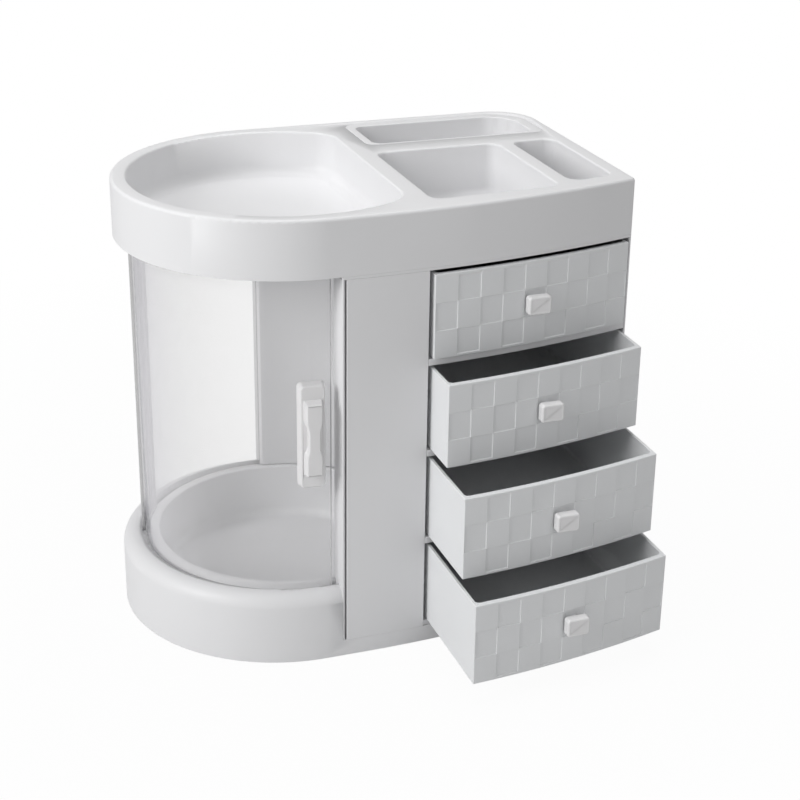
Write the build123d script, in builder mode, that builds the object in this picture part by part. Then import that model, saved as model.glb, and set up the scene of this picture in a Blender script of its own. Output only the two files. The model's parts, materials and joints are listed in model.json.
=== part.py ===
"""Desktop makeup organizer: round compartment with a turning clear door, and a cabinet of four drawers.

Millimetres, +Z up. The origin is on the vertical axis of the round end, on the surface that the
organizer stands on. +X runs from the round end towards the drawers, and -Y is the front.
"""

import os
from math import acos, cos, degrees, radians, sin, sqrt

from build123d import *

# ---------------------------------------------------------------- driving dimensions: the plan
end_radius = 104.0            # outside of the round end
right_side = 205.0            # axis of the round end to the right-hand side
back_corner_radius = 30.0
front_corner_radius = 2.5
bow_start = 23.0              # where the straight front turns into the long bow
bow_radius = 694.0

# ---------------------------------------------------------------- driving dimensions: the heights
overall_height = 290.0
foot_proud = 0.8              # how far the feet stand out below the base
deck_top = 11.5               # top of the base under the cabinet
ledge_top = 48.0              # top of the base around the round compartment
cover_height = 36.0
top_plate_thickness = 2.0

# ---------------------------------------------------------------- driving dimensions: the base
base_wall = 2.5
base_lead = 3.6               # how far the base reaches out beyond the cover at the round end
ledge_rounding = 9.5
round_end_limit = 8.0         # the high round part of the base ends at this X
well_ledge_width = 3.4        # flat ledge between the compartment wall and the well
well_floor = 10.0
well_flat_margin = 4.2        # between the divider and the well's flat right-hand side
well_rim_rounding = 1.2
well_floor_rounding = 6.0
well_corner_radius = 14.0
ring_cavity_margin = 6.0      # least wall between the round end and the hollow inside it
bottom_cover_web = 0.7        # left under the screw heads
foot_edge_rounding = 0.5
bottom_cover_thickness = 2.0
foot_radius = 7.0
foot_recess = 1.2
foot_edge_distance = 18.0

# ---------------------------------------------------------------- driving dimensions: the door
shell_inset = 8.9             # outside of the base to the outside of the rear shell
shell_thickness = 2.2
door_shell_gap = 0.9          # between the rear shell and the door that turns inside it
door_thickness = 2.4
track_depth = 3.5
track_clearance = 0.3
shell_front_angle = 168.0     # polar angle of the rear shell's free edge
door_rear_angle = 150.0       # polar angles of the closed door's edges
door_latch_angle = 273.0
door_edge_rounding = 0.8
door_running_gap = 0.25       # above and below the door
handle_angle = 264.9
handle_width = 17.4
handle_height = 69.0
handle_centre_height = 152.0
handle_thickness = 6.0
handle_corner_radius = 3.5
handle_face_rounding = 1.6
grip_face_rounding = 1.2
grip_corner_radius = 2.5
grip_height = 50.0
grip_end_width = 11.0
grip_waist_width = 7.4
grip_proud = 6.2
handle_screw_spacing = 46.0

# ---------------------------------------------------------------- driving dimensions: the cabinet
cabinet_wall = 1.9
cabinet_floor_thickness = 3.6
divider_left = 60.2
divider_thickness = 2.0
door_wall_gap = 1.3           # between the door and the curved compartment wall
compartment_wall_thickness = 1.8
jamb_thickness = 1.3
jamb_gap = 1.3                # dark gap between the jamb strip and the front panel
jamb_recess = 0.3             # front edge of the jamb behind the front
front_panel_thickness = 2.4
panel_flange_thickness = 1.8
panel_flange_depth = 10.0
ceiling_overlap = 4.0         # how far the ceiling reaches over the cabinet's top
ceiling_thickness = 2.7
track_wall = 1.7
shelf_thickness = 2.0
rail_height = 4.2
rail_depth = 5.0
support_width = 4.0
support_height = 2.0
support_half_length = 60.0
assembly_gap = 0.05           # between pieces that slot together

# ---------------------------------------------------------------- driving dimensions: the drawers
drawer_count = 4
drawer_left_gap = 2.75        # between the divider and the drawer's side
drawer_right_gap = 1.35       # between the drawer and the right-hand wall
drawer_running_gap = 0.3      # between a drawer and the shelf that it slides on
top_drawer_gap = 2.4          # between the top plate and the top drawer
drawer_top_gap = 2.1          # between a lower drawer and the rail above it
drawer_back_gap = 12.1        # behind a closed drawer
drawer_back_corner = 25.0
drawer_wall = 2.0
drawer_front_wall = 3.0
drawer_floor = 2.0
drawer_inner_rounding = 3.0
drawer_outer_rounding = 1.2
drawer_floor_rounding = 2.5
drawer_rim_rounding = 0.6
knob_boss_height = 1.6
pull_outs = [2.0, 28.0, 58.0, 80.0]    # how far each drawer stands open, top to bottom
relief_columns = 9
relief_rows = 3
relief_depth = 0.9
relief_border = 1.6
relief_tile_gap = 0.15
knob_width = 15.0
knob_height = 11.8
knob_thickness = 5.8
knob_stem_radius = 4.5
knob_stem_length = 3.0
knob_lift = 0.0                # knob centre above the middle of the front
knob_corner_radius = 2.2
knob_face_rounding = 1.6

# ---------------------------------------------------------------- driving dimensions: the cover
cover_wall = 2.5
cover_deck = 2.5
cover_edge_rounding = 2.2
pocket_wall = 2.0
pocket_rim_rounding = 1.4
tray_depth = 29.5
tray_margin = 10.0            # outside of the round end to the tray
tray_right_margin = 3.2       # between the divider and the tray's flat right-hand side
tray_corner_radius = 22.0
tray_floor_rounding = 8.0
tray_floor_thickness = 2.2
pocket_depth = 33.0
pocket_corner_radius = 8.0
pocket_floor_rounding = 4.0
pocket_back = 22.0
wide_pocket_margins = (16.9, 11.1)     # bowed front to the pocket at its left and right
narrow_pocket_margins = (15.4, 14.5)
pocket_side_margin = 10.5     # right-hand side to the narrow pocket
pocket_partition = 10.7       # between the wide and the narrow pocket
narrow_pocket_width = 30.0
wide_pocket_margin = 7.8      # between the divider and the wide pocket
bin_front = 42.5
bin_depth = 30.0
bin_wall = 2.0
bin_rim_thickness = 3.0
bin_rim_side_margin = 7.8     # right-hand side to the rim of the bin
bin_rim_back_margin = 9.8     # back to the rim of the bin
bin_rim_left_margin = 9.0     # between the divider and the rim of the bin
bin_rim_widths = (5.5, 8.2, 6.2)       # left, right and back flanges of the rim, over the bin's mouth
bin_back_corner = 20.0
bin_corner = 7.0
bin_clearance = 0.3
bin_floor_rounding = 4.0
bin_rim_rounding = 0.8

# ---------------------------------------------------------------- driving dimensions: the screws
screw_radius = 1.4
screw_head_radius = 2.8
screw_head_height = 1.2
screw_clearance = 0.05
cover_screw_length = 12.0
cover_boss_radius = 3.5
base_screw_length = 6.0
base_boss_radius = 4.5
knob_screw_length = 10.0
handle_screw_length = 8.0

# ---------------------------------------------------------------- levels and places worked out
cover_bottom = overall_height - cover_height
cabinet_top = cover_bottom - top_plate_thickness
bow_centre_y = bow_radius - end_radius
divider_right = divider_left + divider_thickness
panel_left = round_end_limit + jamb_thickness + jamb_gap
cabinet_inner_right = right_side - cabinet_wall
drawer_left = divider_right + drawer_left_gap
drawer_right = cabinet_inner_right - drawer_right_gap
drawer_width = drawer_right - drawer_left
drawer_back = end_radius - cabinet_wall - drawer_back_gap
cabinet_floor_top = deck_top + cabinet_floor_thickness
lowest_drawer_bottom = cabinet_floor_top + drawer_running_gap
drawer_gap = drawer_running_gap + rail_height + drawer_top_gap
drawers_height = cabinet_top - top_drawer_gap - lowest_drawer_bottom
drawer_height = (drawers_height - (drawer_count - 1) * drawer_gap) / drawer_count
drawer_pitch = drawer_height + drawer_gap
drawer_bottoms = [lowest_drawer_bottom + drawer_pitch * n for n in reversed(range(drawer_count))]
shell_outer_radius = end_radius - shell_inset
shell_inner_radius = shell_outer_radius - shell_thickness
door_outer_radius = shell_inner_radius - door_shell_gap
door_inner_radius = door_outer_radius - door_thickness
compartment_outer_radius = door_inner_radius - door_wall_gap
compartment_radius = compartment_outer_radius - compartment_wall_thickness
well_radius = compartment_radius - well_ledge_width
well_flat = divider_left - well_flat_margin
tray_radius = end_radius - tray_margin
tray_right = divider_left - tray_right_margin
narrow_pocket_right = right_side - pocket_side_margin
narrow_pocket_left = narrow_pocket_right - narrow_pocket_width
wide_pocket_left = divider_right + wide_pocket_margin
wide_pocket_right = narrow_pocket_left - pocket_partition
bin_rim_left = divider_right + bin_rim_left_margin
bin_rim_right = right_side - bin_rim_side_margin
bin_rim_back = end_radius - bin_rim_back_margin
bin_left = bin_rim_left + bin_rim_widths[0]
bin_right = bin_rim_right - bin_rim_widths[1]
bin_back = bin_rim_back - bin_rim_widths[2]
track_inner_radius = door_inner_radius - track_clearance
track_outer_radius = shell_outer_radius + track_clearance
track_floor = ledge_top - track_depth
tray_floor = overall_height - tray_depth
ceiling_top = tray_floor - tray_floor_thickness - assembly_gap
ceiling_bottom = ceiling_top - ceiling_thickness
pocket_floor = overall_height - pocket_depth
underside = foot_proud
knob_x = (drawer_left + drawer_right) / 2
foot_inset = end_radius - foot_edge_distance

os.makedirs("parts", exist_ok=True)


def save(part, name):
    """Label one finished piece and write its file."""
    part.label = name
    export_step(part, f"parts/{name}.step")


# ---------------------------------------------------------------- plan shapes that pieces share
def bow_y(x, inset=0.0):
    """Y of the bowed front at x, moved inwards by inset."""
    return bow_centre_y - sqrt((bow_radius - inset) ** 2 - (x - bow_start) ** 2)


def outline(inset=0.0, lead=0.0):
    """Plan of the organizer, moved inwards by inset, with its round end moved out by lead."""
    end_r = end_radius - inset
    right = right_side - inset
    corner_x = right_side - back_corner_radius
    corner_y = end_radius - back_corner_radius
    middle_x = (right + bow_start) / 2
    front_right = (right, bow_y(right, inset))
    with BuildSketch() as plan:
        with BuildLine():
            Line((-lead, end_r), (corner_x, end_r))
            CenterArc((corner_x, corner_y), back_corner_radius - inset, 0, 90)
            Line((right, corner_y), front_right)
            ThreePointArc(front_right, (middle_x, bow_y(middle_x, inset)), (bow_start, -end_r))
            Line((bow_start, -end_r), (-lead, -end_r))
            ThreePointArc((-lead, -end_r), (-end_r - lead, 0), (-lead, end_r))
        make_face()
        fillet(plan.vertices().sort_by_distance(front_right)[0], max(front_corner_radius - inset, 0.4))
    return plan.sketch


def block(x0, x1, y0, y1):
    """Rectangle between two X and two Y values."""
    with BuildSketch() as plan:
        with Locations(((x0 + x1) / 2, (y0 + y1) / 2)):
            Rectangle(x1 - x0, y1 - y0)
    return plan.sketch


def bow_points(left, right, inset=0.0):
    """Ends and middle of the bowed front between two X values, moved inwards by inset."""
    return [(x, bow_y(x, inset)) for x in (left, (left + right) / 2, right)]


def bowed_strip(left, right, outer, inner):
    """Strip between two insets of the bowed front."""
    with BuildSketch() as plan:
        with BuildLine():
            front = ThreePointArc(*bow_points(left, right, outer))
            back = ThreePointArc(*bow_points(left, right, inner))
            Line(front @ 0, back @ 0)
            Line(front @ 1, back @ 1)
        make_face()
    return plan.sketch


def ring_sector(inner, outer, start, end):
    """Part of a ring about the round end's axis, between two polar angles."""
    a = radians(start)
    b = radians(end)
    with BuildSketch() as plan:
        with BuildLine():
            CenterArc((0, 0), inner, start, end - start)
            CenterArc((0, 0), outer, start, end - start)
            Line((inner * cos(a), inner * sin(a)), (outer * cos(a), outer * sin(a)))
            Line((inner * cos(b), inner * sin(b)), (outer * cos(b), outer * sin(b)))
        make_face()
    return plan.sketch


def cut_disc(radius, right):
    """Disc about the round end's axis, cut off flat at X = right."""
    with BuildSketch() as plan:
        Circle(radius)
        with Locations((right + radius, 0)):
            Rectangle(2 * radius, 2 * radius, mode=Mode.SUBTRACT)
    return plan.sketch


far = 2 * (right_side + end_radius)
left_of_limit = block(-far, round_end_limit, -far, far)
right_of_limit = block(round_end_limit, far, -far, far)


def screw(place, direction, length):
    """Pan-head screw: the underside of its head is at place, and its shank runs along direction."""
    plane = Plane(origin=place, z_dir=direction)
    with BuildPart() as one:
        with BuildSketch(plane):
            Circle(screw_radius)
        extrude(amount=length)
        with BuildSketch(plane):
            Circle(screw_head_radius)
        extrude(amount=-screw_head_height)
    return one.part


# ---------------------------------------------------------------- places of screws and feet
foot_places = [
    (0, 0),
    (-foot_inset, 0),
    (0, -foot_inset),
    (0, foot_inset),
    (right_side - foot_edge_distance, bow_y(right_side) + foot_edge_distance),
    (right_side - foot_edge_distance - 8, foot_inset - 8),
]
ring_screw_radius = (well_radius + base_wall + end_radius - ring_cavity_margin) / 2
ring_screw_places = [
    (ring_screw_radius * cos(radians(a)), ring_screw_radius * sin(radians(a))) for a in (130, 230)
]
deck_screw_places = [
    (drawer_left + 25, 8 - foot_inset),
    (drawer_left + 25, foot_inset),
    (right_side - 26, 0),
]
cover_screw_places = [
    (tray_right - 2, 12 - end_radius),
    (tray_right - 2, end_radius - 12),
    (wide_pocket_left + 40, (pocket_back + bin_front) / 2 - 0.8),
    (narrow_pocket_right - 10, (pocket_back + bin_front) / 2 - 0.8),
]

# ---------------------------------------------------------------- base
well_underside = well_floor - base_wall
ring_cavity_top = track_floor - base_wall
bottom_cover_top = underside + bottom_cover_thickness


def on_shoulder(edge):
    """True for the outer edge of the high round part."""
    middle = edge @ 0.5
    return middle.X < round_end_limit - 1 and middle.X ** 2 + middle.Y ** 2 > track_outer_radius ** 2


def in_well(edge):
    """True for the edges round the mouth of the well."""
    middle = edge @ 0.5
    return middle.X < well_flat + 1 and middle.X ** 2 + middle.Y ** 2 < (well_radius + 1) ** 2


with BuildPart() as base:
    # deck under the cabinet
    with BuildSketch(Plane.XY.offset(underside)):
        add(outline(lead=base_lead))
    extrude(amount=deck_top - underside)
    # high round part with its rounded shoulder
    with BuildSketch(Plane.XY.offset(underside)):
        add(outline(lead=base_lead))
        add(left_of_limit, mode=Mode.INTERSECT)
    extrude(amount=ledge_top - underside)
    ledge_edges = base.edges().filter_by_position(Axis.Z, ledge_top - 0.1, ledge_top + 0.1)
    fillet(ledge_edges.filter_by(on_shoulder), ledge_rounding)
    # drum inside the cabinet, under the compartment wall
    with BuildSketch(Plane.XY.offset(deck_top)):
        add(cut_disc(compartment_outer_radius, divider_left - assembly_gap))
        add(right_of_limit, mode=Mode.INTERSECT)
    extrude(amount=ledge_top - deck_top)
    # well with a soft floor and rim
    with BuildSketch(Plane.XY.offset(ledge_top)) as well_plan:
        add(cut_disc(well_radius, well_flat))
        fillet(well_plan.vertices(), well_corner_radius)
    extrude(amount=well_floor - ledge_top, mode=Mode.SUBTRACT)
    fillet(base.edges().filter_by_position(Axis.Z, well_floor - 0.01, well_floor + 0.01), well_floor_rounding)
    ledge_edges = base.edges().filter_by_position(Axis.Z, ledge_top - 0.1, ledge_top + 0.1)
    fillet(ledge_edges.filter_by(in_well), well_rim_rounding)
    # track for the door and the rear shell
    with BuildSketch(Plane.XY.offset(ledge_top)):
        Circle(track_outer_radius)
        Circle(track_inner_radius, mode=Mode.SUBTRACT)
        add(left_of_limit, mode=Mode.INTERSECT)
    extrude(amount=-track_depth, mode=Mode.SUBTRACT)
    # hollow underside
    with BuildSketch(Plane.XY.offset(underside)):
        add(outline(base_wall, base_lead))
    extrude(amount=well_underside - underside, mode=Mode.SUBTRACT)
    with BuildSketch(Plane.XY.offset(underside)):
        Circle(end_radius - ring_cavity_margin)
        Circle(well_radius + base_wall, mode=Mode.SUBTRACT)
        add(block(-far, round_end_limit - base_wall, -far, far), mode=Mode.INTERSECT)
    extrude(amount=ring_cavity_top - underside, mode=Mode.SUBTRACT)
    # screw bosses
    with BuildSketch(Plane.XY.offset(bottom_cover_top)):
        with Locations(*ring_screw_places):
            Circle(base_boss_radius)
    extrude(amount=ring_cavity_top - bottom_cover_top)
    with BuildSketch(Plane.XY.offset(bottom_cover_top)):
        with Locations(*deck_screw_places):
            Circle(base_boss_radius)
    extrude(amount=well_underside - bottom_cover_top)
    with BuildSketch(Plane.XY.offset(bottom_cover_top)):
        with Locations(*ring_screw_places, *deck_screw_places):
            Circle(screw_radius + screw_clearance)
    extrude(amount=base_screw_length, mode=Mode.SUBTRACT)
save(base.part, "base")

# ---------------------------------------------------------------- bottom cover, feet and base screws
base_screw_seat = bottom_cover_top - bottom_cover_web

with BuildPart() as bottom_cover:
    with BuildSketch(Plane.XY.offset(underside)):
        add(outline(base_wall + bin_clearance, base_lead))
    extrude(amount=bottom_cover_thickness)
    with BuildSketch(Plane.XY.offset(underside)):
        with Locations(*foot_places):
            Circle(foot_radius + assembly_gap)
    extrude(amount=foot_recess, mode=Mode.SUBTRACT)
    with BuildSketch(Plane.XY.offset(underside)):
        with Locations(*ring_screw_places, *deck_screw_places):
            Circle(screw_head_radius + screw_clearance)
    extrude(amount=base_screw_seat - underside, mode=Mode.SUBTRACT)
    with BuildSketch(Plane.XY.offset(underside)):
        with Locations(*ring_screw_places, *deck_screw_places):
            Circle(screw_radius + screw_clearance)
    extrude(amount=bottom_cover_thickness, mode=Mode.SUBTRACT)
save(bottom_cover.part, "bottom_cover")

with BuildPart() as feet:
    with BuildSketch():
        with Locations(*foot_places):
            Circle(foot_radius)
    extrude(amount=underside + foot_recess)
    fillet(feet.faces().group_by(Axis.Z)[0].edges(), foot_edge_rounding)
save(feet.part, "rubber_feet")

with BuildPart() as base_screws:
    for x, y in ring_screw_places + deck_screw_places:
        add(screw((x, y, base_screw_seat), (0, 0, 1), base_screw_length))
save(base_screws.part, "base_screws")

# ---------------------------------------------------------------- drawer cabinet
with BuildPart() as cabinet:
    # right wall, rounded corner and back, with the divider beside the drawers
    with BuildSketch(Plane.XY.offset(deck_top)):
        add(outline())
        add(outline(cabinet_wall), mode=Mode.SUBTRACT)
        add(right_of_limit, mode=Mode.INTERSECT)
        add(block(-far, cabinet_inner_right, -far, 0), mode=Mode.SUBTRACT)
        add(block(divider_left, divider_right, bow_y(divider_right, front_panel_thickness),
                  end_radius - cabinet_wall / 2))
    extrude(amount=cabinet_top - deck_top)
    # floor under the lowest drawer
    with BuildSketch(Plane.XY.offset(deck_top)):
        add(outline(cabinet_wall / 2))
        add(block(divider_right, right_side, -far, far), mode=Mode.INTERSECT)
    extrude(amount=cabinet_floor_top - deck_top)
    # ribs that carry the shelves
    for bottom in drawer_bottoms[:-1]:
        rib_top = bottom - drawer_running_gap - shelf_thickness
        with BuildSketch(Plane.XY.offset(rib_top)):
            add(block(divider_right - assembly_gap, divider_right + support_width,
                      -support_half_length, support_half_length))
            add(block(cabinet_inner_right - support_width, cabinet_inner_right + assembly_gap,
                      -support_half_length, support_half_length))
        extrude(amount=-support_height)
save(cabinet.part, "drawer_cabinet")

# ---------------------------------------------------------------- front panel left of the drawers
with BuildPart() as front_panel:
    with BuildSketch(Plane.XY.offset(deck_top)):
        add(outline())
        add(outline(front_panel_thickness), mode=Mode.SUBTRACT)
        add(block(panel_left, divider_right, -far, 0), mode=Mode.INTERSECT)
        add(block(panel_left, panel_left + panel_flange_thickness,
                  front_panel_thickness / 2 - end_radius, panel_flange_depth - end_radius))
    extrude(amount=cabinet_top - deck_top)
save(front_panel.part, "front_panel")

# ---------------------------------------------------------------- compartment wall with its jamb strips
jamb_right = round_end_limit + jamb_thickness
jamb_root = compartment_outer_radius + assembly_gap

with BuildPart() as compartment_wall:
    with BuildSketch(Plane.XY.offset(ledge_top)):
        add(cut_disc(compartment_outer_radius, divider_left - assembly_gap))
        add(cut_disc(compartment_radius, divider_left - assembly_gap - compartment_wall_thickness),
            mode=Mode.SUBTRACT)
        add(right_of_limit, mode=Mode.INTERSECT)
        add(block(round_end_limit, jamb_right, compartment_radius, end_radius - cabinet_wall))
        add(block(round_end_limit, jamb_right, jamb_recess - end_radius, -compartment_radius))
    extrude(amount=cabinet_top - ledge_top)
    with BuildSketch(Plane.XY.offset(deck_top)):
        add(block(round_end_limit, jamb_right, jamb_root, end_radius - cabinet_wall))
        add(block(round_end_limit, jamb_right, jamb_recess - end_radius, -jamb_root))
    extrude(amount=ledge_top - deck_top)
save(compartment_wall.part, "compartment_wall")

# ---------------------------------------------------------------- shelves with their bowed front rails
for number, bottom in enumerate(drawer_bottoms[:-1], start=1):
    shelf_top = bottom - drawer_running_gap
    shelf_left = divider_right + assembly_gap
    shelf_right = cabinet_inner_right - assembly_gap
    with BuildPart() as shelf:
        with BuildSketch(Plane.XY.offset(shelf_top)):
            add(outline())
            add(block(-far, far, 0, far), mode=Mode.SUBTRACT)
            add(outline(cabinet_wall + assembly_gap))
            add(block(shelf_left, shelf_right, -far, far), mode=Mode.INTERSECT)
        extrude(amount=-shelf_thickness)
        with BuildSketch(Plane.XY.offset(shelf_top)):
            add(bowed_strip(shelf_left, shelf_right, 0, rail_depth))
            add(outline(), mode=Mode.INTERSECT)
        extrude(amount=-rail_height)
    save(shelf.part, f"shelf_{number}")

# ---------------------------------------------------------------- cabinet top with the ceiling and upper track
with BuildPart() as top_plate:
    with BuildSketch(Plane.XY.offset(cabinet_top)):
        add(outline())
        add(right_of_limit, mode=Mode.INTERSECT)
    extrude(amount=top_plate_thickness)
    with BuildSketch(Plane.XY.offset(ceiling_bottom)):
        add(cut_disc(track_outer_radius + track_wall, round_end_limit + ceiling_overlap))
    extrude(amount=ceiling_thickness)
    with BuildSketch(Plane.XY.offset(cabinet_top)):
        add(cut_disc(track_outer_radius + track_wall, round_end_limit + ceiling_overlap))
        add(right_of_limit, mode=Mode.INTERSECT)
    extrude(amount=ceiling_top - cabinet_top)
    with BuildSketch(Plane.XY.offset(ceiling_bottom)):
        Circle(track_outer_radius + track_wall)
        Circle(track_outer_radius, mode=Mode.SUBTRACT)
        Circle(track_inner_radius)
        Circle(track_inner_radius - track_wall, mode=Mode.SUBTRACT)
        add(left_of_limit, mode=Mode.INTERSECT)
    extrude(amount=-track_depth)
    with BuildSketch(Plane.XY.offset(cabinet_top)):
        with Locations(*cover_screw_places):
            Circle(screw_radius + screw_clearance)
    extrude(amount=ceiling_top - cabinet_top, mode=Mode.SUBTRACT)
save(top_plate.part, "top_plate")

# ---------------------------------------------------------------- clear rear shell
shell_rear_angle = degrees(acos((round_end_limit - assembly_gap) / shell_outer_radius))

with BuildPart() as rear_shell:
    with BuildSketch(Plane.XY.offset(track_floor)):
        add(ring_sector(shell_inner_radius, shell_outer_radius, shell_rear_angle, shell_front_angle))
    extrude(amount=ceiling_bottom - track_floor)
save(rear_shell.part, "rear_shell")

# ---------------------------------------------------------------- clear door, its handle and screws
door_bottom = track_floor + door_running_gap
door_top = ceiling_bottom - door_running_gap
outward = Vector(cos(radians(handle_angle)), sin(radians(handle_angle)), 0)
sideways = Vector(-outward.Y, outward.X, 0)
screw_heights = [handle_centre_height + s * handle_screw_spacing / 2 for s in (-1, 1)]


def handle_plane(radius, height):
    """Plane square to the radius through the handle, facing outwards."""
    spot = outward * radius
    return Plane(origin=(spot.X, spot.Y, height), x_dir=sideways, z_dir=outward)


with BuildPart() as door:
    with BuildSketch(Plane.XY.offset(door_bottom)):
        add(ring_sector(door_inner_radius, door_outer_radius, door_rear_angle, door_latch_angle))
    extrude(amount=door_top - door_bottom)
    fillet(door.edges().filter_by(Axis.Z), door_edge_rounding)
    for height in screw_heights:
        with BuildSketch(handle_plane(door_inner_radius - 1, height)):
            Circle(screw_radius + screw_clearance)
        extrude(amount=door_thickness + 2, mode=Mode.SUBTRACT)
save(door.part, "door")

handle_root = door_outer_radius - handle_width ** 2 / (8 * door_outer_radius) - 0.1

with BuildPart() as handle:
    with BuildSketch(handle_plane(handle_root, handle_centre_height)):
        RectangleRounded(handle_width, handle_height, handle_corner_radius)
    extrude(amount=door_outer_radius + handle_thickness - handle_root)
    fillet(handle.faces().sort_by(Axis((0, 0, 0), outward))[-1].edges(), handle_face_rounding)
    with BuildSketch(handle_plane(door_outer_radius + handle_thickness, handle_centre_height)) as grip_plan:
        with BuildLine():
            for side in (-1, 1):
                ThreePointArc(
                    (side * grip_end_width / 2, -grip_height / 2),
                    (side * grip_waist_width / 2, 0),
                    (side * grip_end_width / 2, grip_height / 2),
                )
            for end in (-1, 1):
                Line((-grip_end_width / 2, end * grip_height / 2), (grip_end_width / 2, end * grip_height / 2))
        make_face()
        fillet(grip_plan.vertices(), grip_corner_radius)
    extrude(amount=grip_proud)
    fillet(handle.faces().sort_by(Axis((0, 0, 0), outward))[-1].edges(), grip_face_rounding)
    # the back follows the curve of the door
    with BuildSketch(Plane.XY.offset(handle_centre_height - handle_height)):
        Circle(door_outer_radius)
    extrude(amount=2 * handle_height, mode=Mode.SUBTRACT)
    for height in screw_heights:
        with BuildSketch(handle_plane(door_outer_radius - 1, height)):
            Circle(screw_radius + screw_clearance)
        extrude(amount=handle_screw_length - door_thickness + 1.2, mode=Mode.SUBTRACT)
save(handle.part, "door_handle")

handle_screw_seat = door_inner_radius - screw_head_radius ** 2 / (2 * door_inner_radius) - 0.01

with BuildPart() as handle_screws:
    for height in screw_heights:
        place = outward * handle_screw_seat
        add(screw((place.X, place.Y, height), outward, handle_screw_length))
save(handle_screws.part, "handle_screws")


# ---------------------------------------------------------------- drawers, knobs and knob screws
def drawer_plan(front_inset, side_inset, corner):
    """Plan of a closed drawer, moved inwards at its front and at its other sides."""
    left = drawer_left + side_inset
    right = drawer_right - side_inset
    back = drawer_back - side_inset
    with BuildSketch() as plan:
        with BuildLine():
            front = ThreePointArc(*bow_points(left, right, front_inset))
            Polyline(front @ 1, (right, back), (left, back), front @ 0)
        make_face()
        fillet(plan.vertices().sort_by_distance((right, back))[0], drawer_back_corner - side_inset)
        for spot in ((left, back), front @ 0, front @ 1):
            fillet(plan.vertices().sort_by_distance(spot)[0], corner)
    return plan.sketch


column_width = drawer_width / relief_columns
row_height = drawer_height / relief_rows
drawer_outer = drawer_plan(0, 0, drawer_outer_rounding)
drawer_inner = drawer_plan(relief_depth + drawer_front_wall, drawer_wall, drawer_inner_rounding)
knob_root_y = bow_y(knob_x, relief_depth)
knob_back_y = knob_root_y - knob_stem_length
boss_end_y = knob_root_y + drawer_front_wall + knob_boss_height



def level(height, pull):
    """Horizontal plane at this height, drawn out with a drawer."""
    return Plane(origin=(0, -pull, height))


def facing(y, pull, height):
    """Plane that faces the front, centred on a knob: y is for the closed drawer."""
    return Plane(origin=(knob_x, y - pull, height), x_dir=(1, 0, 0), z_dir=(0, -1, 0))


for number, (bottom, pull) in enumerate(zip(drawer_bottoms, pull_outs), start=1):
    floor_z = bottom + drawer_floor
    knob_z = bottom + drawer_height / 2 + knob_lift
    knob_depth = boss_end_y - knob_root_y

    with BuildPart() as drawer:
        with BuildSketch(level(bottom, pull)):
            add(drawer_outer)
        extrude(amount=drawer_height)
        with BuildSketch(level(bottom + drawer_height, pull)):
            add(drawer_inner)
        extrude(amount=drawer_floor - drawer_height, mode=Mode.SUBTRACT)
        fillet(drawer.edges().filter_by_position(Axis.Z, floor_z - 0.01, floor_z + 0.01), drawer_floor_rounding)
        fillet(drawer.faces().sort_by(Axis.Z)[-1].edges(), drawer_rim_rounding)
        # sunk tiles of the checker relief
        for row in range(relief_rows):
            low = bottom + max(row_height * row + relief_tile_gap, relief_border)
            high = bottom + min(row_height * (row + 1) - relief_tile_gap, drawer_height - relief_border)
            row_from_top = relief_rows - row
            with BuildSketch(level(low, pull)):
                for column in range(1, relief_columns + 1):
                    if (row_from_top + column) % 2 == 1:
                        x0 = drawer_left + column_width * (column - 1) + relief_tile_gap
                        add(bowed_strip(x0, x0 + column_width - 2 * relief_tile_gap, -1, relief_depth))
            extrude(amount=high - low, mode=Mode.SUBTRACT)
        # boss and hole for the knob's screw
        with BuildSketch(facing(boss_end_y, pull, knob_z)):
            Circle(knob_stem_radius)
        extrude(amount=knob_depth - drawer_front_wall / 2)
        with BuildSketch(facing(boss_end_y, pull, knob_z)):
            Circle(screw_radius + screw_clearance)
        extrude(amount=knob_depth + 1, mode=Mode.SUBTRACT)
    save(drawer.part, f"drawer_{number}")

    with BuildPart() as knob:
        with BuildSketch(facing(knob_root_y + 1, pull, knob_z)):
            Circle(knob_stem_radius)
        extrude(amount=knob_stem_length + 1.5)
        with BuildSketch(facing(knob_back_y, pull, knob_z)):
            RectangleRounded(knob_width, knob_height, knob_corner_radius)
        extrude(amount=knob_thickness)
        fillet(knob.faces().sort_by(Axis.Y)[0].edges(), knob_face_rounding)
        # the stem ends on the sunk tile
        with BuildSketch(level(knob_z - knob_height, pull)):
            add(outline(relief_depth))
            add(block(knob_x - knob_width, knob_x + knob_width, -far, 0), mode=Mode.INTERSECT)
        extrude(amount=2 * knob_height, mode=Mode.SUBTRACT)
        with BuildSketch(facing(knob_root_y + 1, pull, knob_z)):
            Circle(screw_radius + screw_clearance)
        extrude(amount=knob_screw_length - knob_depth + 1.5, mode=Mode.SUBTRACT)
    save(knob.part, f"knob_{number}")

    knob_screw = screw((knob_x, boss_end_y - pull, knob_z), (0, -1, 0), knob_screw_length)
    save(knob_screw, f"knob_screw_{number}")


# ---------------------------------------------------------------- cover and its pockets
def pocket_plan(left, right, margins):
    """Plan of a front pocket of the cover, at two margins behind the bowed front."""
    with BuildSketch() as plan:
        with BuildLine():
            Polyline(
                (left, pocket_back),
                (left, bow_y(left) + margins[0]),
                (right, bow_y(right) + margins[1]),
                (right, pocket_back),
                close=True,
            )
        make_face()
        fillet(plan.vertices(), pocket_corner_radius)
    return plan.sketch


def bin_plan(left, right, front, back, back_corner, corner):
    """Plan of the rear bin, or of its rim, with one large corner at the back."""
    with BuildSketch() as plan:
        add(block(left, right, front, back))
        fillet(plan.vertices().sort_by_distance((right, back))[0], back_corner)
        for spot in ((left, back), (left, front), (right, front)):
            fillet(plan.vertices().sort_by_distance(spot)[0], corner)
    return plan.sketch


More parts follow.
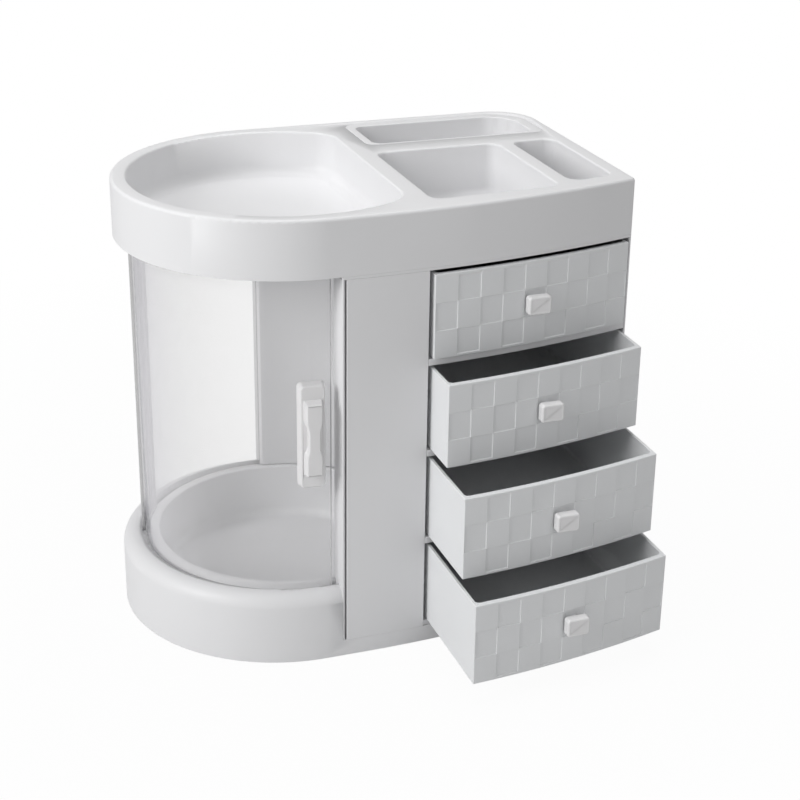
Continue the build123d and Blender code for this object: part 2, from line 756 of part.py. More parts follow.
def grown(plan, amount):
    """The same plan with its outline moved outwards."""
    with BuildSketch() as wider:
        add(plan)
        offset(amount=amount, kind=Kind.ARC)
    return wider.sketch


with BuildSketch() as tray_sketch:
    add(cut_disc(tray_radius, tray_right))
    fillet(tray_sketch.vertices(), tray_corner_radius)
tray_plan = tray_sketch.sketch
wide_plan = pocket_plan(wide_pocket_left, wide_pocket_right, wide_pocket_margins)
narrow_plan = pocket_plan(narrow_pocket_left, narrow_pocket_right, narrow_pocket_margins)
bin_pocket_plan = bin_plan(bin_left, bin_right, bin_front, bin_back, bin_back_corner, bin_corner)
bin_body_plan = grown(bin_pocket_plan, bin_wall)
bin_rim_front = bin_front - bin_wall
bin_rim_corner = bin_back_corner + bin_rim_back - bin_back - bin_wall
bin_rim_plan = bin_plan(bin_rim_left, bin_rim_right, bin_rim_front, bin_rim_back, bin_rim_corner, bin_corner)
bin_seat_plan = grown(bin_rim_plan, bin_clearance)
bin_hole_plan = grown(bin_body_plan, bin_clearance)
deck_underside = overall_height - cover_deck
pocket_underside = pocket_floor - pocket_wall
tray_underside = tray_floor - tray_floor_thickness
bin_seat = overall_height - bin_rim_thickness

with BuildPart() as cover:
    with BuildSketch(Plane.XY.offset(cover_bottom)):
        add(outline())
    extrude(amount=cover_height)
    fillet(cover.faces().sort_by(Axis.Z)[-1].edges(), cover_edge_rounding)
    # pockets
    with BuildSketch(Plane.XY.offset(overall_height)):
        add(tray_plan)
    extrude(amount=-tray_depth, mode=Mode.SUBTRACT)
    with BuildSketch(Plane.XY.offset(overall_height)):
        add(wide_plan)
        add(narrow_plan)
    extrude(amount=-pocket_depth, mode=Mode.SUBTRACT)
    fillet(cover.edges().filter_by_position(Axis.Z, tray_floor - 0.01, tray_floor + 0.01), tray_floor_rounding)
    fillet(cover.edges().filter_by_position(Axis.Z, pocket_floor - 0.01, pocket_floor + 0.01),
           pocket_floor_rounding)
    fillet(cover.faces().sort_by(Axis.Z)[-1].inner_wires().edges(), pocket_rim_rounding)
    # opening for the lift-out bin, with a seat for its rim
    with BuildSketch(Plane.XY.offset(overall_height)):
        add(bin_seat_plan)
    extrude(amount=-bin_rim_thickness, mode=Mode.SUBTRACT)
    # hollow underside, round the pockets
    with BuildSketch(Plane.XY.offset(cover_bottom)):
        add(outline(cover_wall))
        for plan in (tray_plan, wide_plan, narrow_plan, bin_seat_plan):
            add(grown(plan, pocket_wall), mode=Mode.SUBTRACT)
    extrude(amount=deck_underside - cover_bottom, mode=Mode.SUBTRACT)
    with BuildSketch(Plane.XY.offset(cover_bottom)):
        add(grown(bin_seat_plan, pocket_wall))
        add(grown(bin_hole_plan, pocket_wall), mode=Mode.SUBTRACT)
    extrude(amount=bin_seat - cover_deck - cover_bottom, mode=Mode.SUBTRACT)
    with BuildSketch(Plane.XY.offset(cover_bottom)):
        add(outline(cover_wall))
    extrude(amount=pocket_underside - cover_bottom, mode=Mode.SUBTRACT)
    with BuildSketch(Plane.XY.offset(cover_bottom)):
        add(grown(tray_plan, pocket_wall))
    extrude(amount=tray_underside - cover_bottom, mode=Mode.SUBTRACT)
    with BuildSketch(Plane.XY.offset(cover_bottom)):
        add(bin_hole_plan)
    extrude(amount=cover_height, mode=Mode.SUBTRACT)
    # screw bosses
    with BuildSketch(Plane.XY.offset(cover_bottom)):
        with Locations(*cover_screw_places):
            Circle(cover_boss_radius)
    extrude(amount=deck_underside - cover_bottom)
    with BuildSketch(Plane.XY.offset(cover_bottom)):
        with Locations(*cover_screw_places):
            Circle(screw_radius + screw_clearance)
    extrude(amount=cover_screw_length, mode=Mode.SUBTRACT)
save(cover.part, "cover")

with BuildPart() as rear_bin:
    with BuildSketch(Plane.XY.offset(bin_seat)):
        add(bin_rim_plan)
    extrude(amount=bin_rim_thickness)
    with BuildSketch(Plane.XY.offset(overall_height - bin_depth - bin_wall)):
        add(bin_body_plan)
    extrude(amount=bin_depth)
    with BuildSketch(Plane.XY.offset(overall_height)):
        add(bin_pocket_plan)
    extrude(amount=-bin_depth, mode=Mode.SUBTRACT)
    bin_floor = overall_height - bin_depth
    fillet(rear_bin.edges().filter_by_position(Axis.Z, bin_floor - 0.01, bin_floor + 0.01), bin_floor_rounding)
    fillet(rear_bin.faces().sort_by(Axis.Z)[-1].edges(), bin_rim_rounding)
save(rear_bin.part, "rear_bin")

with BuildPart() as cover_screws:
    for x, y in cover_screw_places:
        add(screw((x, y, cabinet_top), (0, 0, 1), cover_screw_length))
save(cover_screws.part, "cover_screws")
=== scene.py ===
# %% [markdown]
# # A desktop make-up organizer with a turning clear door
# The frame that this scene loads holds the organizer's pieces at their real size, each on the body
# that it moves with. The scene dresses them: it softens edges, models the drawers, the knobs and
# the handle that a hand touches, and gives every piece its plastic, rubber or steel.

import json
from math import pi, radians, sqrt

import bpy
from mathutils import Matrix, Vector

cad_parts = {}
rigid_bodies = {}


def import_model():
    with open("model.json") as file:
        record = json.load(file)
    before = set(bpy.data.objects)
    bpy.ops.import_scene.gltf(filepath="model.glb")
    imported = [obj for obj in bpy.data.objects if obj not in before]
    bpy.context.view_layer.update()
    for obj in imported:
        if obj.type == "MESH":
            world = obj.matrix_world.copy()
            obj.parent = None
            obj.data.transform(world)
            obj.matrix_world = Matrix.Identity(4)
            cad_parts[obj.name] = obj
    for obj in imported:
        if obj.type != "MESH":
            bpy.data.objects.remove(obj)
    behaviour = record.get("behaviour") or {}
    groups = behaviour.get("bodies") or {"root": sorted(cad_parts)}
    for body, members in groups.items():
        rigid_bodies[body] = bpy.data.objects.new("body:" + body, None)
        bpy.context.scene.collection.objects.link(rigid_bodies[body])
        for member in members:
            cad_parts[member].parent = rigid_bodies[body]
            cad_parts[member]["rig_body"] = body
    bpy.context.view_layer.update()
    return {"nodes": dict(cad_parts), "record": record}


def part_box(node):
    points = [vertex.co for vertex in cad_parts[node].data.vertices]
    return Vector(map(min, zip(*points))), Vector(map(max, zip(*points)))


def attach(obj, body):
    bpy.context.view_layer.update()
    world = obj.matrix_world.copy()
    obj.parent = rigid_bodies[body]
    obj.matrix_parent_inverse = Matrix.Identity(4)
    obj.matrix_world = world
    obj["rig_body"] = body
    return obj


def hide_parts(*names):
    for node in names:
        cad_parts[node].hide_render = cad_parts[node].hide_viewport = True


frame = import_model()
nodes = frame["nodes"]
MM = 0.001
print("pieces in the frame:", len(nodes))

# %% [markdown]
# ## The camera
# A photographer stood to the left of the organizer and looked slightly down on it, with a long lens
# that keeps its sides nearly parallel. The camera could be aimed with a tracking constraint, but a
# turn, a tilt and a small roll about fixed axes say the same and leave nothing live in the file.

# %% Camera
camera_turn = radians(-19.731)
camera_tilt = radians(23.369)
camera_roll = radians(0.779)
camera_place = Vector((-279.15, -1004.98, 585.90)) * MM
sensor_width = 36.0  # millimetres, of a full-frame camera
image_width = 800
focal_pixels = 1734.5

camera_data = bpy.data.cameras.new("camera")
camera_data.sensor_width = sensor_width
camera_data.lens = sensor_width * focal_pixels / image_width
camera = bpy.data.objects.new("camera", camera_data)
bpy.context.scene.collection.objects.link(camera)
camera.matrix_world = (
    Matrix.Translation(camera_place)
    @ Matrix.Rotation(camera_turn, 4, "Z")
    @ Matrix.Rotation(pi / 2 - camera_tilt, 4, "X")
    @ Matrix.Rotation(camera_roll, 4, "Z")
)
bpy.context.scene.camera = camera
print("lens in mm:", round(camera_data.lens, 2))

# %% [markdown]
# ## Small helpers for modelling
# Operators work on whatever is selected, so each step begins with nothing selected. The helpers
# below select by place, never by number, so a piece can be remade at another size.


# %% Selection helpers
mostly = 0.9  # part of a normal that points one way, for a face that may slope a little
squarely = 0.99  # the same for a face that hardly slopes


def pick_only(thing):
    """Select one object and nothing else."""
    bpy.ops.object.select_all(action="DESELECT")
    thing.select_set(True)
    bpy.context.view_layer.objects.active = thing


def near(a, b, reach=0.05 * MM):
    """True where two lengths agree within a twentieth of a millimetre."""
    return abs(a - b) < reach


def upright(a, b):
    """True for an edge that runs straight up."""
    return near(a.x, b.x) and near(a.y, b.y) and not near(a.z, b.z)


def open_mesh(thing, kind):
    """Clear the selection of a mesh, for faces or edges to be chosen."""
    pick_only(thing)
    bpy.ops.object.mode_set(mode="EDIT")
    bpy.ops.mesh.select_mode(type=kind)
    bpy.ops.mesh.select_all(action="DESELECT")
    bpy.ops.object.mode_set(mode="OBJECT")


def choose_faces(thing, test):
    """Go to edit mode with the faces selected whose centre and normal pass the test."""
    open_mesh(thing, "FACE")
    for face in thing.data.polygons:
        face.select = test(face.center, face.normal)
    bpy.ops.object.mode_set(mode="EDIT")


def choose_edges(thing, test):
    """Go to edit mode with the edges selected whose two ends pass the test."""
    open_mesh(thing, "EDGE")
    spots = [corner.co for corner in thing.data.vertices]
    for edge in thing.data.edges:
        a, b = edge.vertices
        edge.select = test(spots[a], spots[b])
    bpy.ops.object.mode_set(mode="EDIT")


def close_mesh():
    """Back to object mode."""
    bpy.ops.object.mode_set(mode="OBJECT")


# %% Shaping helpers
def apply_modifier(thing, kind, **values):
    """Add one modifier, set it up, and apply it to the mesh."""
    pick_only(thing)
    bpy.ops.object.modifier_add(type=kind)
    modifier = thing.modifiers[-1]
    for name, value in values.items():
        setattr(modifier, name, value)
    bpy.ops.object.modifier_apply(modifier=modifier.name)


def soften(thing, width, segments=2, angle=35):
    """Round every edge that is sharper than the angle, by a width in metres."""
    apply_modifier(
        thing,
        "BEVEL",
        width=width,
        segments=segments,
        limit_method="ANGLE",
        angle_limit=radians(angle),
        use_clamp_overlap=False,
    )


def combine(thing, other, operation):
    """Weld another closed solid to a piece, or cut it away, and delete it."""
    apply_modifier(thing, "BOOLEAN", operation=operation, solver="EXACT", object=other)
    pick_only(other)
    bpy.ops.object.delete()


def smooth_by_angle(thing, degrees):
    """Shade smooth, with sharp lines where the surface turns by more than the angle."""
    pick_only(thing)
    bpy.ops.object.shade_smooth_by_angle(angle=radians(degrees))


full_weight = 100


def keep_flat(thing):
    """Keep large faces evenly shaded beside their small rounds, by weighting the normals."""
    apply_modifier(thing, "WEIGHTED_NORMAL", keep_sharp=True, weight=full_weight)


def triangles(thing):
    """Number of triangles in a mesh."""
    return sum(len(face.vertices) - 2 for face in thing.data.polygons)


# %% Starting shapes and copies
def block(name, low, high):
    """Start a piece from a cube with these two corners; its place is kept in its mesh."""
    bpy.ops.object.select_all(action="DESELECT")
    bpy.ops.mesh.primitive_cube_add(size=1, location=(Vector(low) + Vector(high)) / 2)
    thing = bpy.context.view_layer.objects.active
    thing.name = name
    thing.scale = Vector(high) - Vector(low)
    bpy.ops.object.transform_apply(location=True, rotation=True, scale=True)
    return thing


def rod(name, radius, start, end, sides=32):
    """Start a piece from a cylinder whose axis runs from front to back, or straight up."""
    bpy.ops.object.select_all(action="DESELECT")
    along = Vector(end) - Vector(start)
    turn = (0, 0, 0) if abs(along.z) > abs(along.y) else (pi / 2, 0, 0)
    bpy.ops.mesh.primitive_cylinder_add(
        vertices=sides,
        radius=radius,
        depth=along.length,
        location=(Vector(start) + Vector(end)) / 2,
        rotation=turn,
    )
    thing = bpy.context.view_layer.objects.active
    thing.name = name
    bpy.ops.object.transform_apply(location=True, rotation=True, scale=True)
    return thing


def copy_to(thing, name, shift):
    """Copy a finished pattern with its own mesh, and move the copy's mesh."""
    pick_only(thing)
    bpy.ops.object.duplicate()
    twin = bpy.context.view_layer.objects.active
    twin.name = name
    twin.data.transform(Matrix.Translation(shift))
    return twin


# %% [markdown]
# ## Finishes
# Satin plastic is not one flat colour. Its moulding varies a little from place to place, and its
# surface has a grain finer than half a millimetre. Both could be painted, but noise that is fixed
# to the piece needs no picture and fits every shape.

# %% How plastic varies
cloud_scale = 9.0  # slow change of colour, about nine clouds in a metre
cloud_detail = 3.0
cloud_band = (0.3, 0.7)  # part of the noise over which the colour changes
darker_share = 0.975
grain_scale = 2600.0  # fine grain, a few to a millimetre
grain_detail = 2.0
grain_depth = 0.05 * MM
sheen_change = 0.05
plastic_ior = 1.46
plastic_specular = 0.4
print("deepest grain in mm:", grain_depth / MM)


# %% Satin plastic, rubber and steel
def new_material(name):
    """Node material; returns it with its nodes, its links and its shader."""
    material = bpy.data.materials.new(name)
    material.use_nodes = True
    tree = material.node_tree
    return material, tree.nodes, tree.links, tree.nodes["Principled BSDF"]


def satin_plastic(name, colour, roughness, grain=0.12):
    """Moulded surface: slow colour change, varied sheen and a fine grain."""
    material, kit, links, shader = new_material(name)
    place = kit.new("ShaderNodeTexCoord")
    flow = kit.new("ShaderNodeTexNoise")
    flow.inputs["Scale"].default_value = cloud_scale
    flow.inputs["Detail"].default_value = cloud_detail
    tint = kit.new("ShaderNodeValToRGB")
    low, high = tint.color_ramp.elements
    low.position, high.position = cloud_band
    low.color = [part * darker_share for part in colour] + [1]
    high.color = list(colour) + [1]
    fine = kit.new("ShaderNodeTexNoise")
    fine.inputs["Scale"].default_value = grain_scale
    fine.inputs["Detail"].default_value = grain_detail
    sheen = kit.new("ShaderNodeMapRange")
    sheen.inputs["To Min"].default_value = roughness - sheen_change
    sheen.inputs["To Max"].default_value = roughness + sheen_change
    bump = kit.new("ShaderNodeBump")
    bump.inputs["Strength"].default_value = grain
    bump.inputs["Distance"].default_value = grain_depth
    links.new(place.outputs["Object"], flow.inputs["Vector"])
    links.new(place.outputs["Object"], fine.inputs["Vector"])
    links.new(flow.outputs["Fac"], tint.inputs["Fac"])
    links.new(tint.outputs["Color"], shader.inputs["Base Color"])
    links.new(fine.outputs["Fac"], sheen.inputs["Value"])
    links.new(sheen.outputs["Result"], shader.inputs["Roughness"])
    links.new(fine.outputs["Fac"], bump.inputs["Height"])
    links.new(bump.outputs["Normal"], shader.inputs["Normal"])
    shader.inputs["IOR"].default_value = plastic_ior
    shader.inputs["Specular IOR Level"].default_value = plastic_specular
    return material


white = satin_plastic("satin_white_plastic", (0.80, 0.80, 0.81), 0.42)
drawer_white = satin_plastic("satin_drawer_plastic", (0.80, 0.81, 0.82), 0.42)
knob_white = satin_plastic("satin_knob_plastic", (0.82, 0.815, 0.82), 0.38)
rubber = satin_plastic("foot_rubber", (0.03, 0.03, 0.03), 0.7, grain=0.3)
steel = satin_plastic("screw_steel", (0.55, 0.55, 0.56), 0.32)
steel.node_tree.nodes["Principled BSDF"].inputs["Metallic"].default_value = 1.0
print("finishes so far:", len(bpy.data.materials))

# %% [markdown]
# ## Clear plastic
# The door and the shell are thin, clear and polished. Real refraction could be traced through them,
# but at 2 mm it hardly bends the view. A see-through surface that grows denser where it is seen
# edge-on gives the same look with little noise, and its cut edges, which gather light, get a denser
# finish of their own.


# %% Clear plastic
edge_blend = 0.3  # how early the sheet counts as seen edge-on
shadow_share = 0.06  # how much light a clear piece holds back from what lies behind it
haze_scale = 25.0
polished = (0.03, 0.09)  # lowest and highest roughness
clear_ior = 1.49


def clear_plastic(name, colour, edge_on, thin, dense):
    """See-through plastic: its colour and share go from face-on (colour, thin) to edge-on."""
    material, kit, links, shader = new_material(name)
    facing = kit.new("ShaderNodeLayerWeight")
    facing.inputs["Blend"].default_value = edge_blend
    body = kit.new("ShaderNodeMapRange")
    body.inputs["To Min"].default_value = thin
    body.inputs["To Max"].default_value = dense
    rays = kit.new("ShaderNodeLightPath")
    lit = kit.new("ShaderNodeMapRange")
    lit.inputs["To Max"].default_value = shadow_share
    links.new(facing.outputs["Facing"], body.inputs["Value"])
    links.new(body.outputs["Result"], lit.inputs["To Min"])
    links.new(rays.outputs["Is Shadow Ray"], lit.inputs["Value"])
    links.new(lit.outputs["Result"], shader.inputs["Alpha"])
    place = kit.new("ShaderNodeTexCoord")
    haze = kit.new("ShaderNodeTexNoise")
    haze.inputs["Scale"].default_value = haze_scale
    sheen = kit.new("ShaderNodeMapRange")
    sheen.inputs["To Min"].default_value = polished[0]
    sheen.inputs["To Max"].default_value = polished[1]
    tint = kit.new("ShaderNodeValToRGB")
    low, high = tint.color_ramp.elements
    low.color = list(colour) + [1]
    high.color = list(edge_on) + [1]
    links.new(place.outputs["Object"], haze.inputs["Vector"])
    links.new(haze.outputs["Fac"], sheen.inputs["Value"])
    links.new(facing.outputs["Facing"], tint.inputs["Fac"])
    links.new(tint.outputs["Color"], shader.inputs["Base Color"])
    links.new(sheen.outputs["Result"], shader.inputs["Roughness"])
    shader.inputs["IOR"].default_value = clear_ior
    return material


clear = clear_plastic(
    "clear_polished_plastic", (0.90, 0.895, 0.89), (0.66, 0.65, 0.71), 0.05, 0.65
)
clear_edge = clear_plastic(
    "clear_plastic_edge", (0.52, 0.52, 0.52), (0.50, 0.50, 0.53), 0.75, 0.9
)
print("clear finishes:", clear.name, clear_edge.name)

# %% [markdown]
# ## Which finish goes on which slot
# The frame's record names a slot for every piece. A piece that stands for another takes the finish
# of its slot, so that someone can repaint all drawers at once.

# %% Slots
slot_of = {row["node"]: row["material_slot"] for row in frame["record"]["subparts"]}
finish_of = {
    "cabinet_white": white,
    "base_white": white,
    "cover_white": white,
    "drawer_white": drawer_white,
    "knob_white": knob_white,
    "handle_white": knob_white,
    "clear_plastic": clear,
    "foot_rubber": rubber,
    "screw_steel": steel,
}


def dress(thing, material):
    """Give a piece one material."""
    thing.data.materials.clear()
    thing.data.materials.append(material)


def stand_for(piece, node):
    """Let a finished piece take the place and body of a piece of the frame, and its slot's finish.
    """
    dress(piece, finish_of[slot_of[node]])
    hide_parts(node)
    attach(piece, nodes[node]["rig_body"])


for name, node in nodes.items():
    dress(node, finish_of[slot_of[name]])
print("slots:", sorted(set(slot_of.values())))

# %% [markdown]
# ## Moulded edges
# No edge of a moulded plastic piece is perfectly sharp: the mould's corners are slightly round, and
# that thin round catches the light as a bright line. It could be faked in the shader, but then it
# is missing from the mesh. A copy of each piece is merged into one closed skin, its flat triangles
# are joined into whole faces, and a small bevel runs along every sharp edge. The base, the cover
# and its bin are round already where it shows. They get no bevel, and of the base only the low
# faces under the cabinet are joined.

# %% How each piece is softened
edge_rounds = {  # millimetres
    "base": 0,
    "drawer_cabinet": 0.3,
    "front_panel": 0.25,
    "compartment_wall": 0.3,
    "top_plate": 0.3,
    "shelf_1": 0.4,
    "shelf_2": 0.4,
    "shelf_3": 0.4,
    "cover": 0,
    "rear_bin": 0,
    "rear_shell": 0.3,
    "door": 0.2,
}
all_triangles_kept = ("cover", "rear_bin")
evenly_shaded = ("base", "drawer_cabinet", "front_panel", "top_plate")
evenly_shaded += ("shelf_1", "shelf_2", "shelf_3")
cabinet_foot = 12.0 * MM
above_everything = 1.0
merge_reach = 0.002 * MM
flat_below = 0.2  # degrees between two triangles that count as one flat face
sharp_above = 35  # degrees between two faces that stay sharp
print("pieces to soften:", len(edge_rounds))


# %% Softened copies
def softened_copy(node, edge):
    """Copy a piece of the frame, and round its sharp edges by this many millimetres."""
    pick_only(nodes[node])
    bpy.ops.object.duplicate()
    piece = bpy.context.view_layer.objects.active
    piece.name = node + "_moulded"
    bpy.ops.object.parent_clear(type="CLEAR_KEEP_TRANSFORM")
    bpy.ops.object.mode_set(mode="EDIT")
    bpy.ops.mesh.select_all(action="SELECT")
    bpy.ops.mesh.remove_doubles(threshold=merge_reach)
    close_mesh()
    if node not in all_triangles_kept:
        highest = cabinet_foot if node == "base" else above_everything
        choose_faces(piece, lambda centre, normal: centre.z < highest)
        bpy.ops.mesh.dissolve_limited(angle_limit=radians(flat_below))
        close_mesh()
    if edge:
        soften(piece, edge * MM)
    smooth_by_angle(piece, sharp_above)
    if node in evenly_shaded:
        keep_flat(piece)
    stand_for(piece, node)
    return piece


moulded = {node: softened_copy(node, edge) for node, edge in edge_rounds.items()}
for node, piece in moulded.items():
    print(node, "triangles:", triangles(piece))

# %% [markdown]
# ## Bright edges of the clear plastic
# Light runs along a clear sheet and leaves at its edges, which therefore look milky grey or bright.
# The faces that look along the sheet or up and down, and not out of it, get the denser finish.


# %% Clear edges
outward_share = 0.75  # a face that looks outward or inward by less than this is an edge face


def finish_edges(piece):
    """Give the narrow edge faces of a curved clear sheet the denser finish."""
    piece.data.materials.append(clear_edge)
    count = 0
    for face in piece.data.polygons:
        out = Vector((face.center.x, face.center.y, 0)).normalized()
        if abs(face.normal.dot(out)) < outward_share:
            face.material_index = 1
            count += 1
    return count


for node in ("door", "rear_shell"):
    print(node, "edge faces:", finish_edges(moulded[node]))

# %% [markdown]
# ## A drawer
# A drawer is one moulded tray. Its front is a wide bow with a relief of small square tiles, sunk in
# turns like a chequerboard, and its far back corner is round to clear the cabinet. The front could
# be built tile by tile, but a real mould-maker cuts the relief into one face. So a block gets its
# round corner, is hollowed from the top, has its front cut into tiles, and every second tile is
# pushed in. Only then is the flat front bent to its bow.

# %% The drawer's sizes
drawer_low, drawer_high = (Vector(corner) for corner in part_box("drawer_4"))
side_wall = 2.0 * MM
front_wall = 3.9 * MM
drawer_floor = 2.0 * MM
far_corner = 25.0 * MM
inner_corner = 3.0 * MM
floor_round = 2.5 * MM
front = drawer_low.y
front_depth = 9.0 * MM  # how much of the drawer, from its front, is cut into tiles and bent
front_zone = front + front_depth
columns, rows = 9, 3
relief_depth = 0.55 * MM
relief_border = 1.6 * MM
relief_side = 0.8 * MM
corner_segments = 12
tray_edge = 0.45 * MM
tile_slope = 0.28 * MM
tile_edge = 0.16 * MM
tile_width = (drawer_high.x - drawer_low.x) / columns
tile_height = (drawer_high.z - drawer_low.z) / rows
print("tile in mm:", round(tile_width / MM, 2), "by", round(tile_height / MM, 2))

# %% Block with its round far corner
drawer = block("drawer_4_tray", drawer_low, drawer_high)
choose_edges(
    drawer, lambda a, b: upright(a, b) and near(a.x, drawer_high.x) and near(a.y, drawer_high.y)
)
bpy.ops.mesh.bevel(offset=far_corner, segments=corner_segments, affect="EDGES")
close_mesh()
print("faces after the corner:", len(drawer.data.polygons))

# %% Hollow it from the top
choose_faces(drawer, lambda centre, normal: normal.z > mostly)
bpy.ops.mesh.inset(thickness=side_wall)
close_mesh()
choose_edges(
    drawer,
    lambda a, b: near(a.y, front + side_wall) and near(b.y, front + side_wall) and near(a.z, b.z),
)
bpy.ops.transform.translate(value=(0, front_wall - side_wall, 0))
close_mesh()
margin = 12 * MM  # keeps the narrow faces of the rim out
choose_faces(
    drawer,
    lambda centre, normal: normal.z > mostly
    and drawer_low.x + margin < centre.x < drawer_high.x - margin
    and front + margin < centre.y < drawer_high.y - margin,
)
down = drawer_floor - (drawer_high.z - drawer_low.z)
bpy.ops.mesh.extrude_region_move(TRANSFORM_OT_translate={"value": (0, 0, down)})
close_mesh()
inner_x = (drawer_low.x + side_wall, drawer_high.x - side_wall)
inner_y = (front + front_wall, drawer_high.y - side_wall)
choose_edges(
    drawer,
    lambda a, b: upright(a, b)
    and any(near(a.x, x) for x in inner_x)
    and any(near(a.y, y) for y in inner_y),
)
bpy.ops.mesh.bevel(offset=inner_corner, segments=4, affect="EDGES")
close_mesh()
floor_level = drawer_low.z + drawer_floor
choose_edges(drawer, lambda a, b: near(a.z, floor_level) and near(b.z, floor_level))
bpy.ops.mesh.bevel(offset=floor_round, segments=3, affect="EDGES")
close_mesh()
soften(drawer, tray_edge, segments=3)
print("faces of the plain tray:", len(drawer.data.polygons))

# %% Cut the front into tiles
cuts = [drawer_low.x + relief_side, drawer_high.x - relief_side]
cuts += [drawer_low.x + tile_width * number for number in range(1, columns)]
for x in cuts:
    choose_faces(drawer, lambda centre, normal: centre.y < front_zone)
    bpy.ops.mesh.bisect(plane_co=(x, 0, 0), plane_no=(1, 0, 0))
    close_mesh()
levels = [drawer_low.z + relief_border, drawer_high.z - relief_border]
levels += [drawer_low.z + tile_height * number for number in range(1, rows)]
for z in levels:
    choose_faces(drawer, lambda centre, normal: near(centre.y, front) and normal.y < -squarely)
    bpy.ops.mesh.bisect(plane_co=(0, 0, z), plane_no=(0, 0, 1))
    close_mesh()


def sunk_tile(centre, normal):
    """True for the faces of the front that are sunk: every second tile, none in the border."""
    if not near(centre.y, front) or normal.y > -squarely:
        return False
    across = centre.x - drawer_low.x
    below = drawer_high.z - centre.z
    inside = relief_side < across < drawer_high.x - drawer_low.x - relief_side
    inside = inside and relief_border < below < drawer_high.z - drawer_low.z - relief_border
    return inside and (int(across / tile_width) + int(below / tile_height)) % 2 == 1


choose_faces(drawer, sunk_tile)
bpy.ops.mesh.inset(thickness=tile_slope, use_individual=True)
bpy.ops.transform.translate(value=(0, relief_depth, 0))
close_mesh()
soften(drawer, tile_edge, segments=2, angle=40)
print("faces with the relief:", len(drawer.data.polygons))

# %% Bend the front to its bow
bow_start = 23.0 * MM
bow_radius = 694.0 * MM


def bow(x):
    """How far the bowed front falls back at x from its most forward line."""
    return bow_radius - sqrt(bow_radius**2 - (x - bow_start) ** 2)


for corner in drawer.data.vertices:
    if corner.co.y < front_zone:
        corner.co.y += bow(corner.co.x) - bow(drawer_low.x)
print("the bow falls back in mm:", round((bow(drawer_high.x) - bow(drawer_low.x)) / MM, 1))

# %% [markdown]
# ## The screw boss, and the other three drawers
# A short round boss inside the front holds the screw of the knob. It is welded on with a Boolean,
# which keeps the drawer one closed skin. The finished drawer is then copied to the other places.

# %% Boss and copies
knob_low, knob_high = (Vector(corner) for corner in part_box("knob_4"))
knob_middle = (knob_low + knob_high) / 2
stem_radius = 4.5 * MM
boss_reach = (2.2 * MM, 5.5 * MM)  # from the front's outside to the boss's hidden root and its end
front_at_knob = front + bow(knob_middle.x) - bow(drawer_low.x)
boss_root = Vector((knob_middle.x, front_at_knob + boss_reach[0], knob_middle.z))
boss_end = Vector((knob_middle.x, front_at_knob + boss_reach[1], knob_middle.z))
combine(drawer, rod("boss", stem_radius, boss_root, boss_end), "UNION")
smooth_by_angle(drawer, degrees=32)
keep_flat(drawer)
drawers = [drawer]
for number in (3, 2, 1):
    shift = Vector(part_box(f"drawer_{number}")[0]) - drawer_low
    drawers.append(copy_to(drawer, f"drawer_{number}_tray", shift))
for piece in drawers:
    stand_for(piece, piece.name.replace("_tray", ""))
print("drawers:", len(drawers), "triangles each:", triangles(drawer))

# %% [markdown]
# ## A knob
# Each knob is a small flat pillow on a round stem. It could be a rounded box from a modifier alone,
# but the real one has an almost square outline, a softer front rim and a front that is dished a
# little for the fingertip. So the outline and the rim are rounded in two steps of their own.

# %% Knob
knob_thickness = 5.8 * MM
knob_corner = 2.0 * MM
knob_rim = 1.3 * MM
knob_border = 0.9 * MM
knob_dish = 0.22 * MM
knob_back_edge = 0.4 * MM
stem_overlap = 2.0 * MM
knob_back = knob_low.y + knob_thickness
knob = block("knob_4_pillow", knob_low, Vector((knob_high.x, knob_back, knob_high.z)))
choose_edges(knob, lambda a, b: near(a.x, b.x) and near(a.z, b.z))
bpy.ops.mesh.bevel(offset=knob_corner, segments=5, affect="EDGES")
close_mesh()
choose_edges(knob, lambda a, b: near(a.y, knob_low.y) and near(b.y, knob_low.y))
bpy.ops.mesh.bevel(offset=knob_rim, segments=4, affect="EDGES")
close_mesh()
choose_faces(knob, lambda centre, normal: normal.y < -squarely and near(centre.y, knob_low.y))
bpy.ops.mesh.inset(thickness=knob_border)
bpy.ops.transform.translate(value=(0, knob_dish, 0))
close_mesh()
choose_edges(knob, lambda a, b: near(a.y, knob_back) and near(b.y, knob_back))
bpy.ops.mesh.bevel(offset=knob_back_edge, segments=2, affect="EDGES")
close_mesh()
stem_end = Vector((knob_middle.x, knob_high.y, knob_middle.z))
stem_root = Vector((knob_middle.x, knob_back - stem_overlap, knob_middle.z))
combine(knob, rod("stem", stem_radius, stem_root, stem_end), "UNION")
smooth_by_angle(knob, degrees=38)
keep_flat(knob)
knobs = [knob]
for number in (3, 2, 1):
    shift = Vector(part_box(f"knob_{number}")[0]) - knob_low
    knobs.append(copy_to(knob, f"knob_{number}_pillow", shift))
for piece in knobs:
    stand_for(piece, piece.name.replace("_pillow", ""))
print("knobs:", len(knobs), "triangles each:", triangles(knob))

# %% [markdown]
# ## The door's handle
# A plate hugs the curved door, and a grip with a narrow waist stands on it for two fingers. The
# outline of the waist could be drawn as a curve and thickened, but its sides also slope, steeply at
# the waist and gently at the ends. A block that is cut into thin slices takes both: every slice is
# drawn in by its own amount.

